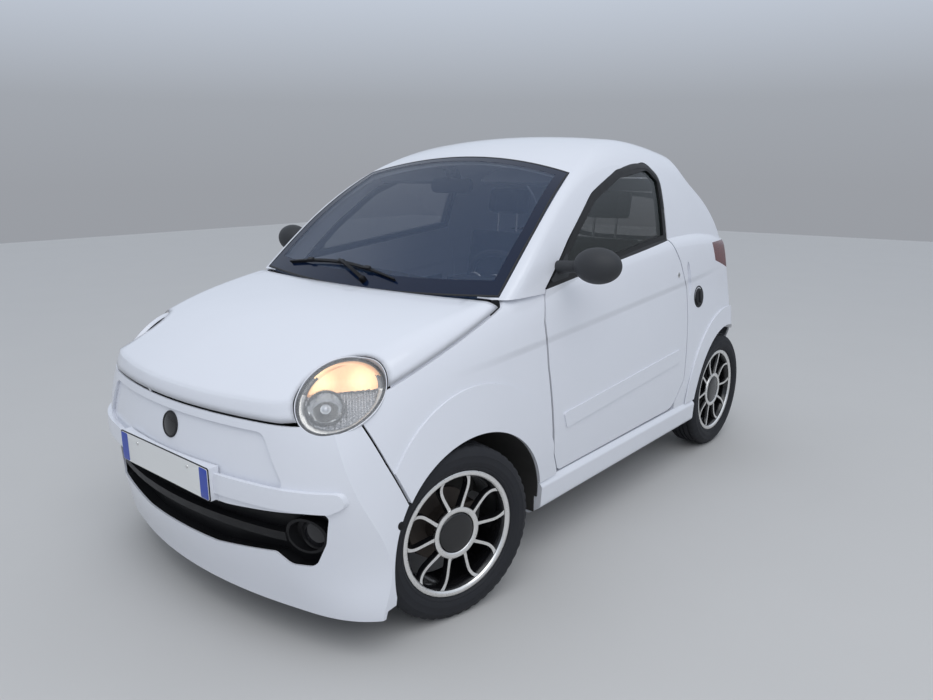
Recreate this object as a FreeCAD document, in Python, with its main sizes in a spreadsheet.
import FreeCAD
import Part
import Sketcher
import math
import os

# A two-seat quadricycle with the engine in front, modelled in millimetres.
# The nose points to -Y, the left side to +X, and the origin lies on the ground at the middle of the car.
# Stations are lengths measured from the front axle line, positive towards the tail.

Vec = FreeCAD.Vector
doc = FreeCAD.newDocument("quadricycle")
sheet = doc.addObject("Spreadsheet::Sheet", "Dimensions")
NODES = []
VALUES = {}


def dimension(name, value):
    """Writes one driving dimension to the sheet, gives it an alias and returns it."""
    VALUES[name] = value
    row = len(VALUES)
    sheet.set("A%d" % row, name)
    sheet.set("B%d" % row, str(value))
    sheet.setAlias("B%d" % row, name)
    return value


# Overall layout
front_overhang = dimension("front_overhang", 580)
wheelbase = dimension("wheelbase", 2000)
rear_overhang = dimension("rear_overhang", 420)
# Body shell
panel_skin = dimension("panel_skin", 6)
wall_depth = dimension("wall_depth", 60)
pillar_depth = dimension("pillar_depth", 34)
glass_thickness = dimension("glass_thickness", 5)
shut_gap = dimension("shut_gap", 8)
hinge_gap = dimension("hinge_gap", 10)
running_fit = dimension("running_fit", 0.3)
# Wheels
tyre_radius = dimension("tyre_radius", 283.5)
tyre_width = dimension("tyre_width", 155)
flange_radius = dimension("flange_radius", 206)
bead_radius = dimension("bead_radius", 190)
rim_width = dimension("rim_width", 134)
rim_wall = dimension("rim_wall", 7)
hub_radius = dimension("hub_radius", 52)
stub_radius = dimension("stub_radius", 16)
spoke_width = dimension("spoke_width", 15)
spoke_depth = dimension("spoke_depth", 20)
# Axles
kingpin_x = dimension("kingpin_x", 535)
kingpin_station = dimension("kingpin_station", 20)
front_wheel_offset = dimension("front_wheel_offset", 130)
rest_steer = dimension("rest_steer", 12.7)
rear_wheel_x = dimension("rear_wheel_x", 642)
disc_radius = dimension("disc_radius", 120)
disc_thickness = dimension("disc_thickness", 12)
# Controls
steering_wheel_radius = dimension("steering_wheel_radius", 180)
steering_rim_radius = dimension("steering_rim_radius", 14)
steering_rake = dimension("steering_rake", 28)
steering_x = dimension("steering_x", 290)
steering_station = dimension("steering_station", 790)
steering_height = dimension("steering_height", 905)
# Seats
seat_x = dimension("seat_x", 290)
seat_width = dimension("seat_width", 440)

overall_length = front_overhang + wheelbase + rear_overhang
front_axle_y = front_overhang - overall_length / 2
kingpin_y = front_axle_y + kingpin_station


def station(s):
    """Model y of a station."""
    return front_axle_y + s


def node(thing, label):
    """Registers a sub-part under its label."""
    thing.Label = label
    NODES.append(thing)
    return thing


def panel(label, shape):
    """A sub-part whose form is worked out by Part's functions, from the master forms below."""
    feature = doc.addObject("Part::Feature", label)
    if shape.ShapeType == "Compound" and len(shape.Solids) == 1:
        shape = shape.Solids[0]
    feature.Shape = shape
    return node(feature, label)


# The body below the belt, as cross sections along the car: a floor, two flanks and a gentle crown, with
# a rounded corner between each flank and the crown. Columns: station, floor height, floor half width,
# low control x and z, upper control x and z, corner x and z, corner rounding, crown height.
BODY = [
    (-640, 110, 690, 745, 250, 616, 485, 506, 617, 50, 680),
    (-420, 110, 700, 750, 260, 657, 647, 551, 782, 50, 822),
    (-180, 110, 705, 765, 300, 704, 739, 608, 880, 50, 914),
    (120, 110, 700, 768, 320, 737, 783, 644, 949, 50, 968),
    (500, 110, 690, 768, 340, 739, 814, 666, 1002, 50, 1018),
    (1000, 110, 690, 770, 340, 735, 864, 674, 1058, 50, 1074),
    (1500, 110, 690, 772, 340, 735, 899, 674, 1094, 50, 1112),
    (2000, 110, 700, 775, 360, 731, 874, 656, 1068, 50, 1090),
    (2460, 110, 700, 770, 380, 699, 792, 602, 978, 50, 1000),
]
# The cabin above the belt, with the same columns.
CABIN = [
    (150, 780, 690, 690, 800, 687, 815, 668, 860, 15, 904),
    (290, 780, 690, 690, 850, 682, 920, 664, 976, 28, 1032),
    (530, 780, 690, 692, 960, 668, 1100, 634, 1177, 28, 1228),
    (860, 780, 690, 692, 1020, 624, 1285, 575, 1379, 35, 1432),
    (1250, 780, 690, 692, 1020, 606, 1350, 512, 1492, 105, 1526),
    (1650, 780, 690, 692, 1020, 585, 1330, 490, 1474, 105, 1508),
    (2050, 780, 680, 670, 1000, 555, 1270, 455, 1396, 100, 1425),
    (2460, 780, 640, 620, 950, 490, 1110, 410, 1210, 90, 1240),
]
# The plan of nose and tail, as level sections. Columns: height, nose tip, nose knee, tail tip, tail knee
# (stations), half width of the gently curved face between the rounded corners.
PLAN = [
    (60, -505, -340, 2340, 2250, 420),
    (250, -545, -380, 2390, 2300, 430),
    (480, -580, -400, 2420, 2330, 430),
    (620, -568, -375, 2412, 2310, 430),
    (740, -540, -312, 2390, 2270, 420),
    (950, -470, -250, 2310, 2150, 420),
    (1250, -380, -200, 2090, 1900, 400),
    (1560, -310, -160, 1790, 1650, 380),
]
PLAN_HALF_WIDTH = 800
PLAN_NOSE_START = 0
PLAN_TAIL_START = 1400
FACE_SWEEP = 0.12
FACE_LEAD = 0.33


def bezier(points):
    curve = Part.BezierCurve()
    curve.setPoles([Vec(*p) for p in points])
    return curve.toShape()


def cross_section(row, inset, drop):
    """One closed section of the body, moved in by the inset on every side but the floor."""
    s, zb, xb, xl, zl, xu, zu, xv, zv, rounding, zt = row
    y = station(s)
    lean = math.atan2(zv - zu, xu - xv)
    zb -= drop
    xb -= inset
    xl -= inset
    xu -= inset * math.sin(lean)
    zu -= inset * math.cos(lean)
    xv -= inset * math.tan(lean / 2)
    zv -= inset
    zt -= inset
    xe = xv - rounding
    ze = (zv + 2 * rounding * zt / xe) / (1 + 2 * rounding / xe)
    xf = xv + rounding * math.cos(lean)
    zf = zv - rounding * math.sin(lean)
    flank = [(xb, y, zb), (xl, y, zl), (xu, y, zu), (xf, y, zf)]
    corner = [(xf, y, zf), (xv, y, zv), (xe, y, ze)]
    crown = [(xe, y, ze), (0, y, 2 * zt - ze), (-xe, y, ze)]
    other_corner = [(-x, y, z) for x, y, z in reversed(corner)]
    other_flank = [(-x, y, z) for x, y, z in reversed(flank)]
    floor = Part.LineSegment(Vec(-xb, y, zb), Vec(xb, y, zb)).toShape()
    curves = [bezier(poles) for poles in (flank, corner, crown, other_corner, other_flank)]
    return Part.Wire([floor] + curves)


def plan_end(z, start, tip, knee, face, w, side):
    """The curves of one end of the plan: a corner, the gently curved face and the other corner."""
    toward = 1 if tip > start else -1
    sweep = FACE_SWEEP * face
    y_face = station(tip - toward * sweep)
    lead = FACE_LEAD * face
    y_lead = y_face - toward * 2 * FACE_SWEEP * lead
    corner = [(w, station(start), z), (w, station(knee), z), (face + lead, y_lead, z), (face, y_face, z)]
    middle = [(face, y_face, z), (0, station(tip + toward * sweep), z), (-face, y_face, z)]
    other = [(-x, y, z) for x, y, z in reversed(corner)]
    return [bezier([(side * x, y, z) for x, y, z in poles]) for poles in (corner, middle, other)]


def plan_section(row, inset):
    """One level section of the nose and tail."""
    z, nose, nose_knee, tail, tail_knee, face = row
    w = PLAN_HALF_WIDTH - inset
    y0, y1 = PLAN_NOSE_START, PLAN_TAIL_START
    face -= inset / 2
    front = plan_end(z, y0, nose + inset, nose_knee + inset, face, w, -1)
    back = plan_end(z, y1, tail - inset, tail_knee - inset, face, w, 1)
    left = Part.LineSegment(Vec(w, station(y0), z), Vec(w, station(y1), z)).toShape()
    right = Part.LineSegment(Vec(-w, station(y1), z), Vec(-w, station(y0), z)).toShape()
    return Part.Wire(front + [left] + back + [right])


FORMS = {}


def loft_form(rows, inset, drop):
    """Cross sections lofted along the car and trimmed to the plan, kept for the next use."""
    key = (rows[0], inset, drop)
    if key not in FORMS:
        body = Part.makeLoft([cross_section(r, inset, drop) for r in rows], True, False)
        plan = Part.makeLoft([plan_section(r, inset) for r in PLAN], True, False)
        form = body.common(plan)
        if len(form.Solids) != 1:
            raise RuntimeError("The form with inset %s is not one solid" % inset)
        FORMS[key] = form
    return FORMS[key]


def lower_form(inset, drop=0):
    """The body below the belt, moved in by the inset on every side but the floor."""
    return loft_form(BODY, inset, drop)


def cabin_form(inset):
    """The body above the belt, moved in by the inset."""
    return loft_form(CABIN, inset, 0)


def whole_form(lower_inset, cabin_inset, drop=0):
    key = ("whole", lower_inset, cabin_inset, drop)
    if key not in FORMS:
        FORMS[key] = lower_form(lower_inset, drop).fuse(cabin_form(cabin_inset))
    return FORMS[key]


def outline(points):
    """A closed wire through corner points (a, b) or (a, b, radius), rounded where a radius is given."""
    edges = []
    count = len(points)
    ends = []
    for i, corner in enumerate(points):
        p = Vec(corner[0], corner[1], 0)
        radius = corner[2] if len(corner) > 2 else 0
        if not radius:
            ends.append((p, p, None))
            continue
        before = Vec(points[i - 1][0], points[i - 1][1], 0) - p
        after = Vec(points[(i + 1) % count][0], points[(i + 1) % count][1], 0) - p
        before.normalize()
        after.normalize()
        half = math.acos(max(-1, min(1, before.dot(after)))) / 2
        cut = radius / math.tan(half)
        middle = before + after
        middle.normalize()
        mid = p + middle * (radius / math.sin(half) - radius)
        ends.append((p + before * cut, p + after * cut, mid))
    for i in range(count):
        start, stop, mid = ends[i]
        if mid is not None:
            edges.append(Part.Arc(start, mid, stop).toShape())
        following = ends[(i + 1) % count][0]
        if stop.distanceToPoint(following) > 1e-6:
            edges.append(Part.LineSegment(stop, following).toShape())
    return Part.Wire(edges)


def ellipse_wire(a, b, half_a, half_b):
    """A closed ellipse in the same plane as outline gives."""
    if half_a >= half_b:
        curve = Part.Ellipse(Vec(a, b, 0), half_a, half_b)
        return Part.Wire([curve.toShape()])
    curve = Part.Ellipse(Vec(a, b + half_b, 0), Vec(a + half_a, b, 0), Vec(a, b, 0))
    return Part.Wire([curve.toShape()])


def side_prism(wire, x0, x1):
    """A wire of (station, height) made solid from x0 to x1."""
    shape = Part.Face(wire).extrude(Vec(0, 0, x1 - x0))
    turn = FreeCAD.Rotation(Vec(0, 1, 0), Vec(0, 0, 1), Vec(1, 0, 0), "XYZ")
    shape.Placement = FreeCAD.Placement(Vec(x0, front_axle_y, 0), turn)
    return shape


def front_prism(wire, s0, s1):
    """A wire of (x, height) made solid from station s0 to s1."""
    shape = Part.Face(wire).extrude(Vec(0, 0, s1 - s0))
    turn = FreeCAD.Rotation(Vec(-1, 0, 0), Vec(0, 0, 1), Vec(0, 1, 0), "XYZ")
    shape.Placement = FreeCAD.Placement(Vec(0, station(s0), 0), turn)
    return shape


def plan_prism(wire, z0, z1):
    """A wire of (x, station) made solid from height z0 to z1."""
    shape = Part.Face(wire).extrude(Vec(0, 0, z1 - z0))
    shape.Placement = FreeCAD.Placement(Vec(0, front_axle_y, z0), FreeCAD.Rotation())
    return shape


def grown(wire, distance):
    """The wire moved out by a distance, or in where it is negative."""
    return wire.makeOffset2D(distance)


def mirrored(shape):
    return shape.mirror(Vec(0, 0, 0), Vec(1, 0, 0))


def pair(label, shape):
    """The left piece as given and the right one mirrored."""
    panel(label + "_left", shape)
    panel(label + "_right", mirrored(shape))


def size(name, factor=1, plus=0):
    """A driving dimension as a number, with the formula that keeps a sub-part bound to it."""
    return factor * VALUES[name] + plus, "Dimensions.%s * (%s) + (%s)" % (name, factor, plus)


def along(s, plus=0):
    """A place along the car, from a station."""
    middle = "Dimensions.front_overhang / 2 - (Dimensions.wheelbase + Dimensions.rear_overhang) / 2"
    text = s[1] if isinstance(s, tuple) else "(%s)" % s
    return station(number(s)) + plus, "%s + %s + (%s)" % (middle, text, plus)


def number(item):
    return item[0] if isinstance(item, tuple) else item


def assign(thing, name, item):
    """Sets a property, and binds it where the size comes from the sheet."""
    setattr(thing, name, number(item))
    if isinstance(item, tuple):
        thing.setExpression(name, item[1])


ALONG_X = FreeCAD.Rotation(Vec(0, 1, 0), 90)
ALONG_Y = FreeCAD.Rotation(Vec(1, 0, 0), -90)
UPRIGHT = FreeCAD.Rotation()


def place(thing, x, y, z, rotation=UPRIGHT):
    thing.Placement = FreeCAD.Placement(Vec(number(x), number(y), number(z)), rotation)
    for axis, item in zip("xyz", (x, y, z)):
        if isinstance(item, tuple):
            thing.setExpression("Placement.Base." + axis, item[1])
    return thing


def box(name, length, width, height, x, y, z):
    """A block by its size and its corner of least x, y and z."""
    thing = doc.addObject("Part::Box", name)
    for prop, item in (("Length", length), ("Width", width), ("Height", height)):
        assign(thing, prop, item)
    return place(thing, x, y, z)


def cylinder(name, radius, height, x, y, z, rotation):
    """A round bar from its base point along its own axis."""
    thing = doc.addObject("Part::Cylinder", name)
    assign(thing, "Radius", radius)
    assign(thing, "Height", height)
    return place(thing, x, y, z, rotation)


def made(name, shape):
    """A piece of a sub-part that follows the body's form."""
    thing = doc.addObject("Part::Feature", name)
    thing.Shape = shape
    return thing


def joined(name, pieces):
    thing = doc.addObject("Part::MultiFuse", name)
    thing.Shapes = pieces
    thing.Refine = True
    return thing


def less(name, base, tools):
    """A piece with the tools taken away, one after the other."""
    for i, tool in enumerate(tools):
        cut = doc.addObject("Part::Cut", "%s_cut_%d" % (name, i))
        cut.Base = base
        cut.Tool = tool
        base = cut
    return base


def origin_part(body, role):
    return [f for f in body.Origin.OriginFeatures if f.Role == role][0]


def profile(body, name, role, points):
    """A closed outline of straight runs on one of the body's own planes, bound where its points are."""
    sketch = body.newObject("Sketcher::SketchObject", name)
    sketch.AttachmentSupport = (origin_part(body, role), [""])
    sketch.MapMode = "FlatFace"
    corners = [Vec(number(a), number(b), 0) for a, b in points]
    count = len(corners)
    for i in range(count):
        sketch.addGeometry(Part.LineSegment(corners[i], corners[(i + 1) % count]), False)
    for i in range(count):
        sketch.addConstraint(Sketcher.Constraint("Coincident", i, 2, (i + 1) % count, 1))
    for i, point in enumerate(points):
        for kind, item in zip(("DistanceX", "DistanceY"), point):
            index = sketch.addConstraint(Sketcher.Constraint(kind, -1, 1, i, 1, number(item)))
            if isinstance(item, tuple):
                sketch.setExpression("Constraints[%d]" % index, item[1])
    return sketch


def revolved(body, name, sketch, axis):
    feature = body.newObject("PartDesign::Revolution", name)
    feature.Profile = sketch
    feature.ReferenceAxis = (sketch, [axis])
    feature.Angle = 360
    return feature


def padded(body, name, sketch, length, both=False):
    feature = body.newObject("PartDesign::Pad", name)
    feature.Profile = sketch
    assign(feature, "Length", length)
    feature.Midplane = both
    return feature


def rounded_edges(body, name, base, radius, wanted):
    """Rounds the edges of the last feature that the test picks out."""
    doc.recompute()
    names = ["Edge%d" % (i + 1) for i, edge in enumerate(base.Shape.Edges) if wanted(edge)]
    feature = body.newObject("PartDesign::Fillet", name)
    feature.Base = (base, names)
    assign(feature, "Radius", radius)
    return feature


def rings(x, radius):
    """A test for round edges about the X axis at a place on either side."""
    def wanted(edge):
        curve = edge.Curve
        if not hasattr(curve, "Radius"):
            return False
        return abs(curve.Radius - radius) < 0.2 and abs(abs(curve.Center.x) - x) < 0.2
    return wanted


def end_edges(x):
    """A test for edges that lie wholly in one end face across X."""
    def wanted(edge):
        return all(abs(abs(v.Point.x) - x) < 0.1 for v in edge.Vertexes)
    return wanted


def wheel_rotation(side, steer):
    """The wheel's outer side turned to its side of the car, then steered."""
    return FreeCAD.Rotation(Vec(0, 0, 1), steer + (0 if side > 0 else 180))


def front_wheel_place(side):
    """The front wheel's centre, swung about its kingpin by the steer at rest."""
    swing_x = front_wheel_offset * math.cos(math.radians(rest_steer))
    swing_y = front_wheel_offset * math.sin(math.radians(rest_steer))
    angle = "Dimensions.rest_steer * 1 deg"
    x = side * (kingpin_x + swing_x)
    x_text = "%d * (Dimensions.kingpin_x + Dimensions.front_wheel_offset * cos(%s))" % (side, angle)
    swing_text = " - %d * Dimensions.front_wheel_offset * sin(%s)" % (side, angle)
    y_text = along(size("kingpin_station"))[1] + swing_text
    return (x, x_text), (kingpin_y - side * swing_y, y_text)


# Outlines on the left side, as (station, height, corner radius)
BELT_FRONT = (494, 985)
BELT_REAR = (1444, 1082)
DOOR = [
    BELT_FRONT, (460, 880), (455, 731), (480, 480), (486, 400), (516, 326, 30), (1440, 330, 90),
    (1540, 445, 60),
    (1548, 700), (1542, 860), (1500, 985), BELT_REAR,
    (1463, 1210), (1484, 1345, 50), (1390, 1408, 90), (1113, 1376, 160), (883, 1293, 200), (668, 1139, 300),
]
WINDOW_OUTLINE = [
    BELT_FRONT, BELT_REAR,
    (1463, 1210), (1484, 1345, 50), (1390, 1408, 90), (1113, 1376, 160), (883, 1293, 200), (668, 1139, 300),
]
FRONT_ARCH = (50, 262, 350, 328)
FRONT_LINER = (20, 262, 376, 345)
FRONT_FLARE = (70, 262, 430, 480)
REAR_FLARE = (2005, 275, 430, 444)
REAR_ARCH = (2005, 275, 338, 352)
SCREEN_CORNER = (634, 287)
SCREEN_MIDDLE = (606, 525)
SCREEN_TOP = (542, 835)
screen_top_centre = dimension("screen_top_centre", 875)
screen_base_centre = dimension("screen_base_centre", 205)
bonnet_rear_centre = dimension("bonnet_rear_centre", 172)
sill_top = dimension("sill_top", 318)
bumper_base = dimension("bumper_base", 130)
flare_height = dimension("flare_height", 8)
frame_width = dimension("frame_width", 26)
tailgate_half_width = dimension("tailgate_half_width", 500)
tailgate_base = dimension("tailgate_base", 610)
tailgate_top = dimension("tailgate_top", 1335)
liner_wall = dimension("liner_wall", 4)
front_liner_inner = dimension("front_liner_inner", 430)
rear_liner_inner = dimension("rear_liner_inner", 500)

FAR = 1000
TAIL = 2600
NOSE = -800


def arc_through(a, b, c):
    return Part.Arc(Vec(*a, 0), Vec(*b, 0), Vec(*c, 0)).toShape()


def line(a, b):
    return Part.LineSegment(Vec(*a, 0), Vec(*b, 0)).toShape()


def screen_wire(grow):
    """The windscreen in plan, grown sideways and lengthwise."""
    left = [(x + grow, s) for x, s in (SCREEN_CORNER, SCREEN_MIDDLE, SCREEN_TOP)]
    left[0] = (left[0][0], left[0][1] - grow)
    left[2] = (left[2][0], left[2][1] + grow)
    right = [(-x, s) for x, s in left]
    base = arc_through(right[0], (0, screen_base_centre - grow), left[0])
    side = arc_through(left[0], left[1], left[2])
    top = arc_through(left[2], (0, screen_top_centre + grow), right[2])
    other = arc_through(right[2], right[1], right[0])
    return Part.Wire([base, side, top, other])


def thicker(arch, wall):
    """The outer outline of an arch liner."""
    middle, height, half_long, half_high = arch
    return ellipse_wire(middle, height, half_long + wall, half_high + wall)


door_wire = outline(DOOR)
window_wire = outline(WINDOW_OUTLINE)
front_arch = side_prism(ellipse_wire(*FRONT_ARCH), -FAR, FAR)
rear_arch = side_prism(ellipse_wire(*REAR_ARCH), -FAR, FAR)

# The headlamp looks outward, forward and up, and its outline is an ellipse across that direction
LAMP_CENTRE = (567, -338, 784)
LAMP_AIM = (0.557, -0.487, 0.669)
lamp_half_long = dimension("lamp_half_long", 139)
lamp_half_short = dimension("lamp_half_short", 103)
lamp_turn = dimension("lamp_turn", 40)
lamp_gap = dimension("lamp_gap", 4)
lid_lamp_gap = dimension("lid_lamp_gap", 6)
lens_thickness = dimension("lens_thickness", 4)
lens_radius = dimension("lens_radius", 330)
lens_rise = dimension("lens_rise", 12)
lamp_depth = dimension("lamp_depth", 76)
lamp_wall = dimension("lamp_wall", 6)
lamp_post_radius = dimension("lamp_post_radius", 10)


aim = Vec(*LAMP_AIM)
aim.normalize()
lamp_centre = Vec(LAMP_CENTRE[0], station(LAMP_CENTRE[1]), LAMP_CENTRE[2])


def lamp_prism(grow, back=250, front=250):
    """The lamp's outline, grown, as a solid along its aim."""
    level = Vec(0, 0, 1).cross(aim)
    level.normalize()
    turn = FreeCAD.Rotation(level, aim.cross(level), aim, "XYZ")
    turn = turn.multiply(FreeCAD.Rotation(Vec(0, 0, 1), lamp_turn))
    face = Part.Face(ellipse_wire(0, 0, lamp_half_long + grow, lamp_half_short + grow))
    shape = face.extrude(Vec(0, 0, back + front))
    shape.Placement = FreeCAD.Placement(lamp_centre - aim * back, turn)
    return shape


def lamp_ball(inset):
    """The ball that gives the lens its dome."""
    return Part.makeSphere(lens_radius - inset, lamp_centre + aim * (lens_rise - lens_radius))


lamp_hole = lamp_prism(lamp_gap)
lamp_holes = lamp_hole.fuse(mirrored(lamp_hole))
lid_lamp_hole = lamp_prism(lid_lamp_gap)
lid_lamp_holes = lid_lamp_hole.fuse(mirrored(lid_lamp_hole))


def skin(outer, inner, region):
    """The part of a region that lies in the layer of the lower body between two insets."""
    return region.common(lower_form(outer)).cut(lower_form(inner, 100))


def wall(region):
    """The part of a region that lies in the body's full wall, thinner above the belt."""
    return region.common(whole_form(0, 0)).cut(whole_form(wall_depth, pillar_depth, 100))


# Front bumper
bumper_side = outline([
    (NOSE, bumper_base), (-292, bumper_base), (-288, 300), (-222, 430), (-290, 588), (-338, 715),
    (-480, 706),
    (NOSE, 700),
])
GRILLE = [
    (-622, 476, 18), (-604, 380, 60), (-566, 300, 42), (-490, 296, 30), (-448, 330, 20), (-200, 296, 200),
    (200, 296, 200), (448, 330, 20), (490, 296, 30), (566, 300, 42), (604, 380, 60), (622, 476, 18),
    (300, 450, 300), (-300, 450, 300),
]
RECESS = [
    (-512, 530, 20), (512, 530, 20), (425, 682, 40), (-425, 682, 40),
]
grille_wire = outline(GRILLE)
grille_depth = dimension("grille_depth", 44)
recess_depth = dimension("recess_depth", 10)
ridge_height = dimension("ridge_height", 12)
plate_width = dimension("plate_width", 524)
RIDGE = [(-668, 500, 20), (-655, 538, 20), (655, 538, 20), (668, 500, 20), (630, 478, 10), (-630, 478, 10)]

grille_hole = front_prism(grille_wire, NOSE, -250)
recess = front_prism(outline(RECESS), NOSE, -300)
recess_around = front_prism(grown(outline(RECESS), panel_skin), NOSE, -300)
bumper_region = side_prism(bumper_side, -FAR, FAR).cut(front_arch).cut(lamp_holes)
bumper = skin(0, panel_skin, bumper_region.cut(recess))
bumper = bumper.fuse(skin(recess_depth, recess_depth + panel_skin, recess_around))
bumper = bumper.fuse(skin(0, recess_depth + panel_skin, recess_around.cut(recess)))
plate_band = Part.makeBox(plate_width, 1000, 400, Vec(-plate_width / 2, station(NOSE), 400))
bumper = bumper.fuse(skin(-ridge_height, 0, front_prism(outline(RIDGE), NOSE, -300).cut(plate_band)))
bumper = bumper.cut(grille_hole)
# A flat pad for the number plate, with its two screw holes
plate_height = dimension("plate_height", 100)
plate_base = dimension("plate_base", 456)
plate_station = dimension("plate_station", -585)
plate_screw_spacing = dimension("plate_screw_spacing", 300)
plate_screw_radius = dimension("plate_screw_radius", 2.5)
pad = Part.makeBox(plate_width, 100, plate_height, Vec(-plate_width / 2, station(plate_station),
                                                       plate_base))
bumper = bumper.fuse(pad.cut(lower_form(panel_skin)))
for side in (-1, 1):
    start = Vec(side * plate_screw_spacing / 2, station(plate_station), plate_base + plate_height / 2)
    bumper = bumper.cut(Part.makeCylinder(plate_screw_radius, 12, start, Vec(0, 1, 0)))
panel("front_bumper", bumper.removeSplitter())

# Grille: a black tray behind the opening, with one bar across and a round recess at each end
tray_around = front_prism(grown(grille_wire, 14), NOSE, -250)
tray_back = skin(grille_depth, grille_depth + panel_skin, tray_around)
tray_rim = skin(panel_skin, grille_depth, tray_around.cut(front_prism(grown(grille_wire, 8), NOSE, -250)))
bar_wire = outline([(-480, 366), (480, 366), (480, 394), (-480, 394)])
bar = skin(14, grille_depth, front_prism(bar_wire, NOSE, -250))
tray = tray_back.fuse(tray_rim).fuse(bar)
fog_radius = dimension("fog_radius", 56)
fog_x = dimension("fog_x", 535)
fog_height = dimension("fog_height", 388)
for side in (-1, 1):
    ring = Part.makeCylinder(fog_radius, 200, Vec(side * fog_x, station(-560), fog_height), Vec(0, 1, 0))
    bore = Part.makeCylinder(fog_radius - 8, 200, Vec(side * fog_x, station(-560), fog_height),
                             Vec(0, 1, 0))
    tray = tray.fuse(skin(18, grille_depth, ring.cut(bore)))
panel("grille", tray.removeSplitter())

# Bonnet and wings
LID_END = 256
bonnet_side = outline([
    (NOSE, 700 + shut_gap), (-480, 706 + shut_gap), (-330, 762), (-235, 792), (-31, 860), (271, 958),
    (330, 980),
    (330, 1300), (NOSE, 1300),
])
bonnet_plan = Part.Wire([
    line((-FAR, LID_END), (-655, LID_END)),
    arc_through((-655, LID_END), (0, bonnet_rear_centre), (655, LID_END)),
    line((655, LID_END), (FAR, LID_END)), line((FAR, LID_END), (FAR, NOSE)),
    line((FAR, NOSE), (-FAR, NOSE)),
    line((-FAR, NOSE), (-FAR, LID_END)),
])
bonnet_region = side_prism(bonnet_side, -FAR, FAR).common(plan_prism(bonnet_plan, 600, 1300))
bonnet = skin(0, panel_skin, bonnet_region.cut(lid_lamp_holes))
# Each bonnet arm reaches back to a pin under the foot of the windscreen
bonnet_axis = Vec(0, station(258), 955)
bonnet_arm_x = dimension("bonnet_arm_x", 560)
arm_width = dimension("arm_width", 12)
pin_radius = dimension("pin_radius", 5)
arm_eye = dimension("arm_eye", 9)
for side in (-1, 1):
    x0 = side * bonnet_arm_x - arm_width / 2
    arm = side_prism(outline([(190, 925), (258, 955 - arm_eye), (258, 955 + arm_eye), (222, 990),
                              (190, 990)]),
                     x0, x0 + arm_width)
    eye = Part.makeCylinder(arm_eye, arm_width, Vec(x0, bonnet_axis.y, bonnet_axis.z), Vec(1, 0, 0))
    bore = Part.makeCylinder(pin_radius + running_fit, arm_width, Vec(x0, bonnet_axis.y, bonnet_axis.z),
                             Vec(1, 0, 0))
    under = arm.common(lower_form(panel_skin)).cut(side_prism(outline([(228, 900), (228, 990), (300, 990),
                                                                       (300, 900)]),
                                                             x0 - 1, x0 + arm_width + 1))
    reach = side_prism(outline([(220, 940), (258, 955 - arm_eye), (258, 955 + arm_eye), (220, 962)]), x0,
                       x0 + arm_width)
    bonnet = bonnet.fuse(under).fuse(reach).fuse(eye).cut(bore)
panel("bonnet", bonnet.removeSplitter())

wing_side = outline([
    (-222 + shut_gap, 430), (-290 + shut_gap, 588), (-338 + shut_gap, 715), (-330, 762 - shut_gap),
    (-235, 792 - shut_gap), (-31, 860 - shut_gap), (271, 958 - shut_gap), (300, 972),
    (494 - hinge_gap, 972),
    (460 - hinge_gap, 880), (455 - hinge_gap, 731), (478 - hinge_gap, 480), (480 - hinge_gap, 400),
    (510 - hinge_gap, 326), (510 - hinge_gap, sill_top), (50, sill_top), (-222 + shut_gap, 262),
])
wing_region = side_prism(wing_side, 0, FAR)
flare_ring = side_prism(ellipse_wire(*FRONT_FLARE), 0, FAR)
wing_region = wing_region.cut(front_arch).cut(lamp_hole)
wing = skin(0, panel_skin, wing_region).fuse(skin(-flare_height, 0, wing_region.common(flare_ring)))
pair("wing", wing.removeSplitter())

# Sills
SILL_START = 400
SILL = [(560, 188), (690, 188, 20), (738, 222, 25), (744, 300, 12), (728, sill_top), (560, sill_top)]
sill = front_prism(outline(SILL), SILL_START, 1690)
sill = mirrored(sill) if sill.BoundBox.XMax < 0 else sill
sill = sill.cut(side_prism(thicker(REAR_ARCH, liner_wall), -FAR, FAR))
pair("sill", sill)

# The shell: the roof, its pillars and the quarters behind the doors, with the windscreen in it
door_hole = side_prism(grown(door_wire, shut_gap), 300, FAR)
door_holes = door_hole.fuse(mirrored(door_hole))
screen_hole = plan_prism(screen_wire(0), 850, 1700)
TAILGATE = [
    (-tailgate_half_width, tailgate_base, 40), (tailgate_half_width, tailgate_base, 40),
    (tailgate_half_width, 1000, 200), (430, tailgate_top, 40), (-430, tailgate_top, 40),
    (-tailgate_half_width, 1000, 200),
]
tailgate_wire = outline(TAILGATE)
tailgate_hole = front_prism(grown(tailgate_wire, shut_gap), 1700, TAIL)
PILLAR_START = LID_END + 12
roof_side = outline([
    (PILLAR_START, 972), (1470, 972), (1470, sill_top), (1690, sill_top), (2060, 430),
    (2200, tailgate_base),
    (TAIL, tailgate_base), (TAIL, 1700), (PILLAR_START, 1700),
])
shell_region = side_prism(roof_side, -FAR, FAR)
shell = wall(shell_region.cut(screen_hole).cut(door_holes).cut(tailgate_hole).cut(rear_arch))
shell = sorted(shell.Solids, key=lambda solid: solid.Volume)[-1]
for side in (-1, 1):
    flare = shell_region.common(side_prism(ellipse_wire(*REAR_FLARE), side * 300, side * FAR))
    shell = shell.fuse(skin(-flare_height, 0, flare.cut(door_holes).cut(tailgate_hole).cut(rear_arch)))
TAIL_LAMP = [(520, 800, 30), (700, 840, 30), (700, 1040, 30), (540, 1040, 30)]
tail_lamp_hole = front_prism(outline([(-x, z, r) for x, z, r in TAIL_LAMP]), 1900, TAIL)
tail_lamp_hole = mirrored(tail_lamp_hole) if tail_lamp_hole.BoundBox.XMax < 0 else tail_lamp_hole
lamp_block = skin(0, 30, tail_lamp_hole)
tail_lamp = lamp_block.common(shell)
shell = shell.cut(tail_lamp).cut(mirrored(tail_lamp))
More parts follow.
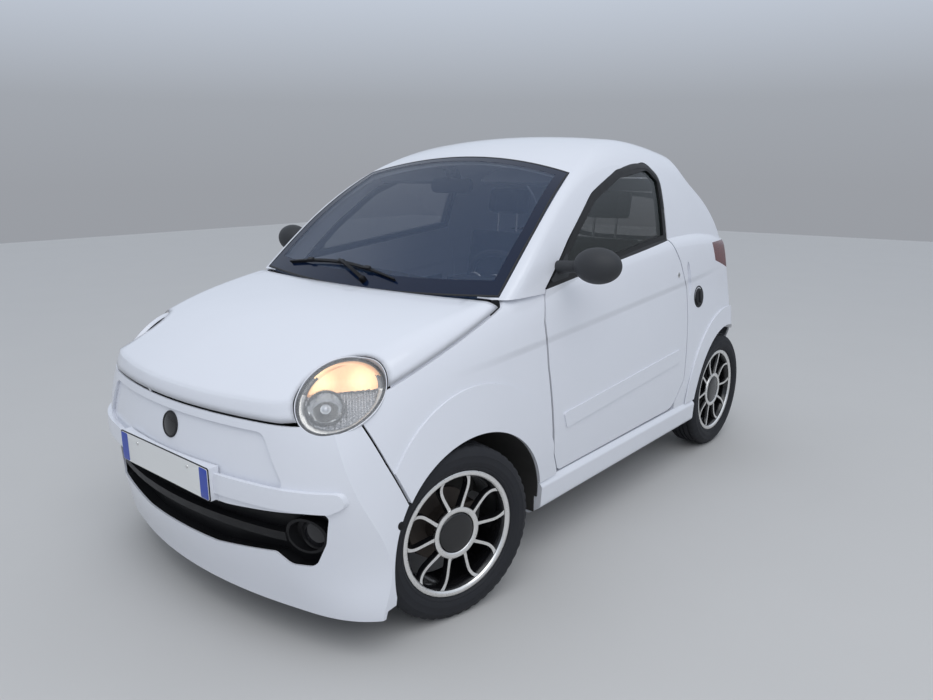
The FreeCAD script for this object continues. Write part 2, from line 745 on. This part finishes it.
# A hand recess behind each door
recess_grip = dimension("recess_grip", 14)
grip = side_prism(ellipse_wire(1580, 904, 19, 76), 500, FAR).cut(lower_form(recess_grip))
shell = shell.cut(grip).cut(mirrored(grip))
# The tailgate hangs on two outside hinges above it
lid_pin = Vec(190, station(2000), 1348)
lid_eye = dimension("lid_eye", 8)
roof_leaf_width = dimension("roof_leaf_width", 16)
lid_leaf_width = dimension("lid_leaf_width", 22)
bracket = Part.makeBox(roof_leaf_width, 35, 12, Vec(lid_pin.x, station(1965), 1344))
bracket = bracket.fuse(Part.makeCylinder(lid_eye, roof_leaf_width, lid_pin, Vec(1, 0, 0)))
bracket = bracket.fuse(Part.makeCylinder(pin_radius, roof_leaf_width + 3 + lid_leaf_width, lid_pin,
                                         Vec(1, 0, 0)))
shell = shell.fuse(bracket).fuse(mirrored(bracket))
panel("body_shell", shell.removeSplitter())
pair("tail_lamp", tail_lamp)
screen = screen_hole.common(cabin_form(0)).cut(cabin_form(glass_thickness))
screen = sorted(screen.Solids, key=lambda solid: solid.Volume)[-1]
panel("windscreen", screen)

rear_bumper_side = outline([
    (2060, 430), (2200, tailgate_base), (TAIL, tailgate_base), (TAIL, 300), (2390, 300), (2330, 330),
    (2300, 400),
])
rear_bumper = skin(0, panel_skin, side_prism(rear_bumper_side, -FAR, FAR).cut(rear_arch).cut(tailgate_hole))
panel("rear_bumper", rear_bumper)

# Tailgate with its window
rear_window_wire = outline([(-400, 985, 40), (400, 985, 40), (365, 1270, 40), (-365, 1270, 40)])
rear_window_hole = front_prism(rear_window_wire, 1700, TAIL)
tailgate = wall(front_prism(tailgate_wire, 1700, TAIL).cut(rear_window_hole))
leaf_start = lid_pin + Vec(roof_leaf_width + 3, 0, 0)
leaf = Part.makeBox(lid_leaf_width, 19, 32, leaf_start + Vec(0, -10, -32))
leaf = leaf.fuse(Part.makeCylinder(lid_eye + 1, lid_leaf_width, leaf_start, Vec(1, 0, 0)))
leaf = leaf.cut(Part.makeCylinder(pin_radius + running_fit, lid_leaf_width, leaf_start, Vec(1, 0, 0)))
tailgate = tailgate.fuse(leaf).fuse(mirrored(leaf))
glass = rear_window_hole.common(whole_form(0, 0)).cut(whole_form(glass_thickness, glass_thickness, 100))
panel("tailgate", tailgate.removeSplitter())
panel("rear_window", glass)

# Doors
door_all = side_prism(door_wire, 300, FAR)
upper_all = side_prism(window_wire, 300, FAR)
glass_hole = side_prism(grown(window_wire, -frame_width), 300, FAR)
door = wall(door_all.cut(upper_all))
door = sorted(door.Solids, key=lambda solid: solid.Volume)[-1]
# A rub strip stands out along the lower door
RUB_STRIP = [(555, 481, 8), (1479, 539, 8), (1472, 600, 8), (534, 540, 8)]
strip_x = dimension("strip_x", 743)
door = door.fuse(side_prism(outline(RUB_STRIP), strip_x - 20, strip_x))
frame = wall(upper_all.cut(glass_hole))
frame = sorted(frame.Solids, key=lambda solid: solid.Volume)[-1]
pane = glass_hole.common(whole_form(8, 8)).cut(whole_form(8 + glass_thickness, 8 + glass_thickness, 100))
pane = sorted(pane.Solids, key=lambda solid: solid.Volume)[-1]
# The door turns on two pins that stand on arms from the cabin's front wall
door_axis_station = dimension("door_axis_station", 495)
DOOR_AXIS_LOW = Vec(722, station(door_axis_station), 450)
DOOR_AXIS_HIGH = Vec(696, station(door_axis_station), 826)
door_axis = (DOOR_AXIS_HIGH - DOOR_AXIS_LOW).normalize()
HINGE_HEIGHTS = (560, 760)
hinge_arm_half = dimension("hinge_arm_half", 10)
hinge_pin_length = dimension("hinge_pin_length", 64)


def hinge_centre(z):
    """The point of the door's axis at a height."""
    return DOOR_AXIS_LOW + door_axis * ((z - DOOR_AXIS_LOW.z) / door_axis.z)


for z in HINGE_HEIGHTS:
    middle = hinge_centre(z)
    notch = Part.makeBox(middle.x + 11 - 600, 70, 2 * hinge_arm_half + 8,
                         Vec(600, middle.y + 14 - 70, z - hinge_arm_half - 4))
    bore = Part.makeCylinder(pin_radius + running_fit, hinge_pin_length + 4,
                             middle - door_axis * (hinge_pin_length / 2 + 2), door_axis)
    door = door.cut(notch).cut(bore)
pair("door", door.removeSplitter())
pair("door_frame", frame)
pair("door_glass", pane)

# Door mirrors: a plate in the corner of the window, a neck and an egg-shaped shell, flat at the back
MIRROR_CENTRE = Vec(830, station(575), 1070)
MIRROR_PLATE = [(512, 1004, 6), (632, 1014, 10), (640, 1104, 6)]
mirror_plate = side_prism(outline(MIRROR_PLATE), 300, FAR)
mirror_plate = mirror_plate.common(cabin_form(-5)).cut(cabin_form(0))
neck_start = Vec(666, station(578), 1052)
neck = Part.makeCone(24, 17, neck_start.distanceToPoint(MIRROR_CENTRE), neck_start,
                     MIRROR_CENTRE - neck_start)
mirror_half_width = dimension("mirror_half_width", 85)
mirror_half_height = dimension("mirror_half_height", 62)
half = Part.ArcOfEllipse(Part.Ellipse(Vec(0, 0, 0), mirror_half_width, mirror_half_height), 0,
                         math.pi).toShape()
chord = Part.LineSegment(Vec(-mirror_half_width, 0, 0), Vec(mirror_half_width, 0, 0)).toShape()
egg = Part.Face(Part.Wire([half, chord])).revolve(Vec(0, 0, 0), Vec(1, 0, 0), 360)
egg.rotate(Vec(0, 0, 0), Vec(0, 0, 1), 6)
egg.translate(MIRROR_CENTRE)
egg = egg.cut(Part.makeBox(300, 100, 300, Vec(700, station(600), 900)))
mirror = neck.cut(cabin_form(0)).fuse(mirror_plate).fuse(egg)
pair("mirror", mirror.removeSplitter())

# Headlamps: a domed lens on a cup, held by a post from the rail
lens = lamp_prism(0).common(lamp_ball(0)).cut(lamp_ball(lens_thickness))
cup = lamp_prism(0, lamp_depth).common(lamp_ball(lens_thickness))
cup = cup.cut(lamp_prism(-lamp_wall, lamp_depth - 10))
lamp_back = lamp_centre - aim * (lamp_depth - 5)
bend = Vec(405, station(-330), 600)
foot = Vec(405, station(-330), 310)
for a, b in ((lamp_back, bend), (bend, foot)):
    cup = cup.fuse(Part.makeCylinder(lamp_post_radius, a.distanceToPoint(b), a, b - a))
cup = cup.fuse(Part.makeSphere(lamp_post_radius, bend))
pair("headlamp", cup.removeSplitter())
pair("headlamp_lens", lens)

# Hidden structure
rail_centre = dimension("rail_centre", 405)
rail_width = dimension("rail_width", 50)
rail_height = dimension("rail_height", 60)
rail_base = dimension("rail_base", 250)
floor_base = dimension("floor_base", 220)
floor_top = dimension("floor_top", 250)
floor_half = dimension("floor_half", 560)
bulkhead_station = dimension("bulkhead_station", 425)
bulkhead_thickness = dimension("bulkhead_thickness", 20)
bulkhead_half = dimension("bulkhead_half", 620)
shelf_top = dimension("shelf_top", 900)
riser_station = dimension("riser_station", 1643)
load_floor_base = dimension("load_floor_base", 420)
load_floor_top = dimension("load_floor_top", 450)
ball_height = dimension("ball_height", 160)


# Rear arch liners, floor, load floor, and the front wall with the shelf that carries the windscreen's foot
floor = box("main_floor", size("floor_half", 2), size("riser_station", 1, -bulkhead_station), 30,
            size("floor_half", -1), along(size("bulkhead_station")), size("floor_base"))
riser = box("riser", size("floor_half", 2), 20, size("load_floor_top", 1, -floor_base),
            size("floor_half", -1), along(size("riser_station")), size("floor_base"))
load_half = VALUES["rear_liner_inner"]
load = Part.makeBox(2 * load_half, 1000, load_floor_top - load_floor_base,
                    Vec(-load_half, station(riser_station + 20), load_floor_base))
load_floor = made("load_floor", load.common(lower_form(panel_skin)))
above = Part.makeBox(2 * FAR, 2000, 2000, Vec(-FAR, station(1500), 285))
disc_above = Part.makeBox(liner_wall, 2000, 2000, Vec(load_half, station(1500), load_floor_base))
ring = side_prism(thicker(REAR_ARCH, liner_wall), load_half, FAR)
ring = ring.cut(side_prism(ellipse_wire(*REAR_ARCH), load_half - 1, FAR)).common(above)
disc = side_prism(ellipse_wire(*REAR_ARCH), load_half, load_half + liner_wall).common(disc_above)
liner = ring.fuse(disc).common(lower_form(wall_depth + running_fit, 100))
liner = sorted(liner.Solids, key=lambda solid: solid.Volume)[-1]
panel("rear_liners", Part.makeCompound([liner, mirrored(liner)]))
wall_x = size("bulkhead_half", 2)
bulkhead = box("bulkhead", size("floor_half", 2), size("bulkhead_thickness"),
               size("shelf_top", 1, -floor_top),
               size("floor_half", -1), along(size("bulkhead_station")), size("floor_top"))
bulkhead_top = box("bulkhead_top", wall_x, size("bulkhead_thickness"), size("shelf_top", 1, -sill_top),
                   size("bulkhead_half", -1), along(size("bulkhead_station")), size("sill_top"))
shelf = box("shelf", wall_x, size("bulkhead_station", 1, -150), 20,
            size("bulkhead_half", -1), along(150), size("shelf_top", 1, -20))
foot_region = side_prism(outline([(275, 890), (275, 1100), (290, 1100), (290, 890)]), -600, 600)
screen_foot = made("screen_foot", foot_region.common(cabin_form(glass_thickness)))
pieces = [floor, riser, load_floor, bulkhead, bulkhead_top, shelf, screen_foot]
door_leg_inner = dimension("door_leg_inner", 614)
door_leg_outer = dimension("door_leg_outer", 644)
for side in (-1, 1):
    tag = "left" if side > 0 else "right"
    post_x = side * (bonnet_arm_x - arm_width / 2 - 16) - 7
    pieces.append(box("bonnet_post_" + tag, 14, 20, 70, post_x, along(248), size("shelf_top", 1, -5)))
    pin_x = side * (bonnet_arm_x + arm_width / 2 + 2)
    pin_base = min(pin_x, side * (bonnet_arm_x - arm_width / 2 - 20))
    pieces.append(cylinder("bonnet_pin_" + tag, size("pin_radius"), arm_width + 22, pin_base, along(258),
                           955, ALONG_X))
    for z in HINGE_HEIGHTS:
        middle = hinge_centre(z)
        reach = middle.x - 628
        x0 = 628 if side > 0 else -middle.x
        name = "door_arm_%s_%d" % (tag, z)
        pieces.append(box(name, reach, 18, 2 * hinge_arm_half, x0, middle.y - 9, z - hinge_arm_half))
        leg_x = door_leg_inner if side > 0 else -door_leg_outer
        pieces.append(box(name + "_leg", door_leg_outer - door_leg_inner,
                          door_axis_station + 9 - bulkhead_station,
                          2 * hinge_arm_half, leg_x, along(bulkhead_station), z - hinge_arm_half))
        lean = door_axis if side > 0 else Vec(-door_axis.x, 0, door_axis.z)
        centre = middle if side > 0 else Vec(-middle.x, middle.y, middle.z)
        turn = FreeCAD.Rotation(Vec(0, 0, 1), lean)
        start = centre - lean * hinge_arm_half
        pieces.append(cylinder(name + "_eye", 9, 2 * hinge_arm_half, start.x, start.y, start.z, turn))
        start = centre - lean * (hinge_pin_length / 2)
        pieces.append(cylinder(name + "_pin", size("pin_radius"), size("hinge_pin_length"), start.x,
                               start.y, start.z, turn))
node(joined("floor_pan", pieces), "floor_pan")

# Front frame: rails, cross member, front beam with its stays to the bumper, and lower arms
pieces = []
beam_station = dimension("beam_station", -440)
for side in (-1, 1):
    tag = "left" if side > 0 else "right"
    pieces.append(box("rail_" + tag, size("rail_width"), size("bulkhead_station", 1, -beam_station),
                      size("rail_height"),
                      side * rail_centre - rail_width / 2, along(size("beam_station")), size("rail_base")))
    stay = Part.makeBox(40, 300, 40, Vec(side * 340 - 20, station(beam_station - 260), 242))
    pieces.append(made("stay_" + tag, stay.common(lower_form(panel_skin))))
    inboard = min(side * (rail_centre - rail_width / 2), side * kingpin_x)
    pieces.append(box("arm_" + tag, kingpin_x - rail_centre + rail_width / 2, 60, 24,
                      inboard, along(size("kingpin_station", 1, -30)), size("ball_height", 1, -20)))
    pieces.append(box("hanger_" + tag, size("rail_width"), 60, size("rail_base", 1, -ball_height + 20),
                      side * rail_centre - rail_width / 2, along(size("kingpin_station", 1, -30)),
                      size("ball_height", 1, -20)))
    pieces.append(cylinder("ball_seat_" + tag, 30, 26, size("kingpin_x", side),
                           along(size("kingpin_station")),
                           size("ball_height", 1, -20), UPRIGHT))
pieces.append(box("cross_member", size("rail_centre", 2), 100, 60, size("rail_centre", -1), along(-50),
                  190))
pieces.append(box("beam", size("rail_centre", 2, rail_width), 40, 34,
                  size("rail_centre", -1, -rail_width / 2), along(size("beam_station", 1, -40)),
                  size("rail_base")))
bores = []
for side in (-1, 1):
    bores.append(cylinder("ball_bore_%d" % (side + 1), size("pin_radius", 1, 4 + running_fit), 60,
                          size("kingpin_x", side), along(size("kingpin_station")),
                          size("ball_height", 1, -12), UPRIGHT))
node(less("front_frame", joined("front_frame_pieces", pieces), bores), "front_frame")

# Front arch liners, open below and towards the wheel
around = side_prism(thicker(FRONT_LINER, liner_wall), front_liner_inner, FAR)
ring = around.cut(side_prism(ellipse_wire(*FRONT_LINER), front_liner_inner - 1, FAR))
ring = ring.common(Part.makeBox(FAR, 2000, 900, Vec(0, station(-800), FRONT_LINER[1])))
liner_front = FRONT_LINER[0] - FRONT_LINER[2]
liner_back = FRONT_LINER[0] + FRONT_LINER[2]
front_wall = Part.makeBox(FAR, liner_wall, FRONT_LINER[1] - 150,
                          Vec(front_liner_inner, station(liner_front - liner_wall), 150))
back_wall = Part.makeBox(floor_half + 150 - front_liner_inner, liner_wall, FRONT_LINER[1] - 200,
                         Vec(front_liner_inner, station(liner_back), 200))
disc = side_prism(ellipse_wire(*FRONT_LINER), front_liner_inner, front_liner_inner + liner_wall)
disc = disc.common(Part.makeBox(FAR, 2000, 900, Vec(0, station(-800), 205)))
liner = ring.fuse(front_wall).fuse(back_wall).fuse(disc).common(lower_form(panel_skin + running_fit, 100))
liner = sorted(liner.Solids, key=lambda solid: solid.Volume)[-1]
panel("front_liners", Part.makeCompound([liner, mirrored(liner)]))

# Engine: one plain block on the cross member
engine = box("engine_block", 480, 460, 350, -300, along(-260), 250)
node(engine, "engine_block")

# Exhaust: a pipe under the floor and a silencer across the tail
pipe_radius = dimension("pipe_radius", 20)
PIPE = [(-120, 200, 320), (-120, 300, 320), (-120, 385, 188), (-120, 1960, 188), (-120, 2080, 300),
        (-120, 2180, 320)]
pieces = []
for i, (start, stop) in enumerate(zip(PIPE, PIPE[1:])):
    a = Vec(start[0], station(start[1]), start[2])
    b = Vec(stop[0], station(stop[1]), stop[2])
    pieces.append(cylinder("pipe_%d" % i, size("pipe_radius"), a.distanceToPoint(b), a.x, a.y, a.z,
                           FreeCAD.Rotation(Vec(0, 0, 1), b - a)))
    if i:
        bend = doc.addObject("Part::Sphere", "pipe_bend_%d" % i)
        assign(bend, "Radius", size("pipe_radius"))
        pieces.append(place(bend, a.x, a.y, a.z))
pieces.append(cylinder("silencer", 72, 400, -260, along(2230), 336, ALONG_X))
pieces.append(cylinder("tail_pipe", size("pipe_radius"), 150, -200, along(2230), 290, ALONG_Y))
pieces.append(box("silencer_hanger", 30, 60, 90, -20, along(2200), 330))
node(joined("exhaust", pieces), "exhaust")

# Rear axle: trailing arms, a cross tube, springs, drums and stubs
pieces = [cylinder("axle_tube", 30, 920, -460, along(1830), 268, ALONG_X)]
for side in (-1, 1):
    tag = "left" if side > 0 else "right"
    pieces.append(box("trailing_arm_" + tag, 40, size("wheelbase", 1, -riser_station - 20 + 40), 40,
                      side * 465 - 20, along(size("riser_station", 1, 20)), 250))
    pieces.append(cylinder("spring_" + tag, 38, size("load_floor_base", 1, -285), side * 445, along(1900),
                           285, UPRIGHT))
    turn = ALONG_X if side > 0 else FreeCAD.Rotation(Vec(0, 1, 0), -90)
    height = size("tyre_radius")
    axle = along(size("wheelbase"))
    pieces.append(cylinder("rear_stub_" + tag, size("stub_radius"), size("rear_wheel_x", 1, 40 - 450),
                           side * 450, axle, height, turn))
    pieces.append(cylinder("rear_drum_" + tag, 104, size("rear_wheel_x", 1, 2 - running_fit - 590),
                           side * 590, axle, height, turn))
node(joined("rear_axle", pieces), "rear_axle")

# Front knuckles: a leg that turns on the ball below, with a strut, a stub, a brake shield and a caliper
knuckle_half = dimension("knuckle_half", 22)
strut_radius = dimension("strut_radius", 20)
strut_top = dimension("strut_top", 598)
for side, tag in ((1, "left"), (-1, "right")):
    name = "knuckle_" + tag
    leg = cylinder(name + "_leg", size("knuckle_half"), 250, 0, 0, size("ball_height", 1, 14), UPRIGHT)
    strut = cylinder(name + "_strut", size("strut_radius"), size("strut_top", 1, -400), 0, 0, 400, UPRIGHT)
    ball = cylinder(name + "_ball", size("pin_radius", 1, 4), 40, 0, 0, size("ball_height", 1, -11.7),
                    UPRIGHT)
    carrier = cylinder(name + "_carrier", 34, 84, 0, 0, size("tyre_radius"), ALONG_X)
    stub = cylinder(name + "_stub", size("stub_radius"), size("front_wheel_offset", 1, 40 - 70), 70, 0,
                    size("tyre_radius"), ALONG_X)
    shield = cylinder(name + "_shield", size("disc_radius"), size("disc_thickness"), 82, 0,
                      size("tyre_radius"), ALONG_X)
    boss = cylinder(name + "_boss", 60, size("front_wheel_offset", 1, 2 - running_fit - 90), 90, 0,
                    size("tyre_radius"), ALONG_X)
    link = box(name + "_arm", 20, 120, 16, -10, -60 + side * 60, 300)
    caliper = box(name + "_caliper", 40, 50, 100, 72, side * 97 - 25, size("tyre_radius", 1, -50))
    whole = joined(name, [leg, strut, ball, carrier, stub, shield, boss, link, caliper])
    place(whole, size("kingpin_x", side), along(size("kingpin_station")), 0,
          wheel_rotation(side, -rest_steer))
    node(whole, name)

# Dashboard with the steering column
DASH = [
    (290.3, 900), (290.3, 925), (420, 944), (560, 952), (640, 930), (668, 860), (640, 740), (560, 700),
    (445, 700),
    (445, 900),
]
dash_half = dimension("dash_half", 612)
dash_body = doc.addObject("PartDesign::Body", "dash_body")
dash_sketch = profile(dash_body, "dash_side", "YZ_Plane", [(along(s), z) for s, z in DASH])
padded(dash_body, "dash_pad", dash_sketch, size("dash_half", 2), True)
column_turn = FreeCAD.Rotation(Vec(1, 0, 0), steering_rake - 90)
column_way = column_turn.multVec(Vec(0, 0, 1))
wheel_middle = Vec(steering_x, station(steering_station), steering_height)
column_start = wheel_middle - column_way * 190
column = cylinder("column", 24, 190 - 30 - running_fit, column_start.x, column_start.y, column_start.z,
                  column_turn)
hood = box("hood", 220, 90, 40, steering_x - 110, along(540), 940)
node(joined("dashboard", [dash_body, column, hood]), "dashboard")

# Steering wheel
ring = doc.addObject("Part::Torus", "steering_ring")
assign(ring, "Radius1", size("steering_wheel_radius"))
assign(ring, "Radius2", size("steering_rim_radius"))
pieces = [ring, cylinder("steering_boss", 62, 34, 0, 0, -30, UPRIGHT)]
for i, angle in enumerate((0, 180, 270)):
    bar = box("steering_bar_%d" % i, size("steering_wheel_radius"), 34, 12, 0, 0, -6)
    turn = FreeCAD.Rotation(Vec(0, 0, 1), angle)
    offset = turn.multVec(Vec(0, -17, 0))
    pieces.append(place(bar, offset.x, offset.y, -6, turn))
whole = joined("steering_wheel", pieces)
place(whole, size("steering_x"), along(size("steering_station")), size("steering_height"), column_turn)
node(whole, "steering_wheel")

# Seats: a cushion and a back in one outline, a headrest on two rods, and a base on the floor
SEAT = [
    (950, 430), (925, 500), (962, 552), (1150, 546), (1340, 535), (1372, 572), (1496, 1080), (1520, 1112),
    (1575, 1112), (1600, 1080), (1490, 560), (1440, 430),
]
for side, tag in ((1, "left"), (-1, "right")):
    body = doc.addObject("PartDesign::Body", "seat_body_" + tag)
    sketch = profile(body, "seat_side_" + tag, "YZ_Plane", [(along(s), z) for s, z in SEAT])
    pad = padded(body, "seat_pad_" + tag, sketch, size("seat_width"), True)
    rounded_edges(body, "seat_round_" + tag, pad, 24, end_edges(seat_width / 2))
    place(body, size("seat_x", side), 0, 0)
    base = box("seat_base_" + tag, 380, 360, size("load_floor_base", 1, 20 - floor_top),
               side * seat_x - 190,
               along(1010), size("floor_top"))
    head = doc.addObject("PartDesign::Body", "headrest_" + tag)
    head_sketch = profile(head, "headrest_side_" + tag, "YZ_Plane", [
        (along(1512), 1150), (along(1536), 1272), (along(1560), 1290), (along(1588), 1284),
        (along(1600), 1262),
        (along(1590), 1150),
    ])
    head_pad = padded(head, "headrest_pad_" + tag, head_sketch, 250, True)
    rounded_edges(head, "headrest_round_" + tag, head_pad, 18, end_edges(125))
    place(head, size("seat_x", side), 0, 0)
    rods = [cylinder("rod_%s_%d" % (tag, i), 7, 120, side * seat_x + i * 60, along(1545), 1060,
                     UPRIGHT) for i in (-1, 1)]
    node(joined("seat_" + tag, [body, base, head] + rods), "seat_" + tag)

# Wheels: the axle lies along X, and the outer side is +X
bead_fit = dimension("bead_fit", 0.4)
tread_half = dimension("tread_half", 58)
rim_disc_x = dimension("rim_disc_x", 34)
centre_ring_radius = dimension("centre_ring_radius", 58)
spoke_count = dimension("spoke_count", 10)


def tyre(label):
    body = doc.addObject("PartDesign::Body", label)
    inner = size("bead_radius", 1, bead_fit)
    flange = size("flange_radius", 1, bead_fit)
    lip = size("flange_radius", 1, 6)
    bulge = size("tyre_radius", 1, -44)
    shoulder = size("tyre_radius", 1, -11)
    points = [
        (size("rim_width", -0.5, 6.5), inner), (size("rim_width", 0.5, -6.5), inner),
        (size("rim_width", 0.5, -6.5), flange), (size("rim_width", 0.5, 2), lip),
        (size("tyre_width", 0.5), bulge),
        (size("tread_half", 1, 12), shoulder), (size("tread_half"), size("tyre_radius")),
        (size("tread_half", -1), size("tyre_radius")), (size("tread_half", -1, -12), shoulder),
        (size("tyre_width", -0.5), bulge), (size("rim_width", -0.5, -2), lip),
        (size("rim_width", -0.5, 6.5), flange),
    ]
    turned = revolved(body, label + "_turned", profile(body, label + "_section", "XY_Plane", points),
                      "H_Axis")
    rounded = rounded_edges(body, label + "_sides", turned, 25, rings(tyre_width / 2, tyre_radius - 44))
    rounded_edges(body, label + "_shoulders", rounded, 12, rings(tread_half + 12, tyre_radius - 11))
    return body


def rim(label):
    """A turned barrel, a hub and slim spokes; its face is at the outer side."""
    body = doc.addObject("PartDesign::Body", label)
    barrel = [
        (size("rim_width", -0.5), size("bead_radius", 1, -rim_wall)),
        (size("rim_width", -0.5), size("flange_radius")),
        (size("rim_width", -0.5, 6), size("flange_radius")),
        (size("rim_width", -0.5, 6), size("bead_radius")),
        (size("rim_width", 0.5, -6), size("bead_radius")),
        (size("rim_width", 0.5, -6), size("flange_radius")),
        (size("rim_width", 0.5), size("flange_radius")), (size("rim_width", 0.5), size("bead_radius", 1,
                                                                                       -rim_wall)),
        (size("rim_disc_x", 1, -12), size("bead_radius", 1, -rim_wall - 4)),
        (0, size("bead_radius", 1, -rim_wall)),
    ]
    revolved(body, label + "_barrel", profile(body, label + "_barrel_section", "XY_Plane", barrel),
             "H_Axis")
    middle = [
        (2, size("stub_radius", 1, running_fit)), (2, size("hub_radius")),
        (size("rim_disc_x"), size("centre_ring_radius")),
        (size("rim_disc_x", 1, 16), size("centre_ring_radius")),
        (size("rim_disc_x", 1, 16), size("stub_radius", 1, running_fit)),
    ]
    sketch = profile(body, label + "_spoke_outline", "YZ_Plane", [
        (-spoke_width / 2 - 3, size("hub_radius", 1, -8)), (spoke_width / 2 + 3, size("hub_radius", 1, -8)),
        (spoke_width / 2 - 1, 105), (spoke_width / 2 + 5, size("bead_radius", 1, -rim_wall + 2)),
        (-spoke_width / 2 - 5, size("bead_radius", 1, -rim_wall + 2)), (1 - spoke_width / 2, 105),
    ])
    sketch.AttachmentOffset = FreeCAD.Placement(Vec(0, 0, rim_disc_x - 8), FreeCAD.Rotation())
    bar = padded(body, label + "_spoke", sketch, size("spoke_depth"))
    pattern = body.newObject("PartDesign::PolarPattern", label + "_spokes")
    pattern.Originals = [bar]
    pattern.Axis = (origin_part(body, "X_Axis"), [""])
    pattern.Angle = 360
    pattern.Occurrences = spoke_count
    body.Tip = pattern
    hub = revolved(body, label + "_hub", profile(body, label + "_hub_section", "XY_Plane", middle),
                   "H_Axis")
    body.Tip = hub
    return body


for side, tag in ((1, "left"), (-1, "right")):
    x, y = front_wheel_place(side)
    for make, kind in ((tyre, "tyre_front_"), (rim, "rim_front_")):
        body = place(make(kind + tag), x, y, size("tyre_radius"), wheel_rotation(side, -rest_steer))
        node(body, kind + tag)
    for make, kind in ((tyre, "tyre_rear_"), (rim, "rim_rear_")):
        body = make(kind + tag)
        place(body, size("rear_wheel_x", side), along(size("wheelbase")), size("tyre_radius"),
              wheel_rotation(side, 0))
        node(body, kind + tag)

# Everything is worked out, looked over and written
doc.recompute()
for thing in doc.Objects:
    if "Invalid" in thing.State or "Error" in thing.State:
        raise RuntimeError("%s did not build: %s" % (thing.Label, thing.State))
for item in NODES:
    if item.Shape.isNull() or not item.Shape.isValid() or not item.Shape.Solids:
        raise RuntimeError("%s has no valid shape" % item.Label)
os.makedirs("parts", exist_ok=True)
for item in NODES:
    item.Shape.exportStep("parts/%s.step" % item.Label)
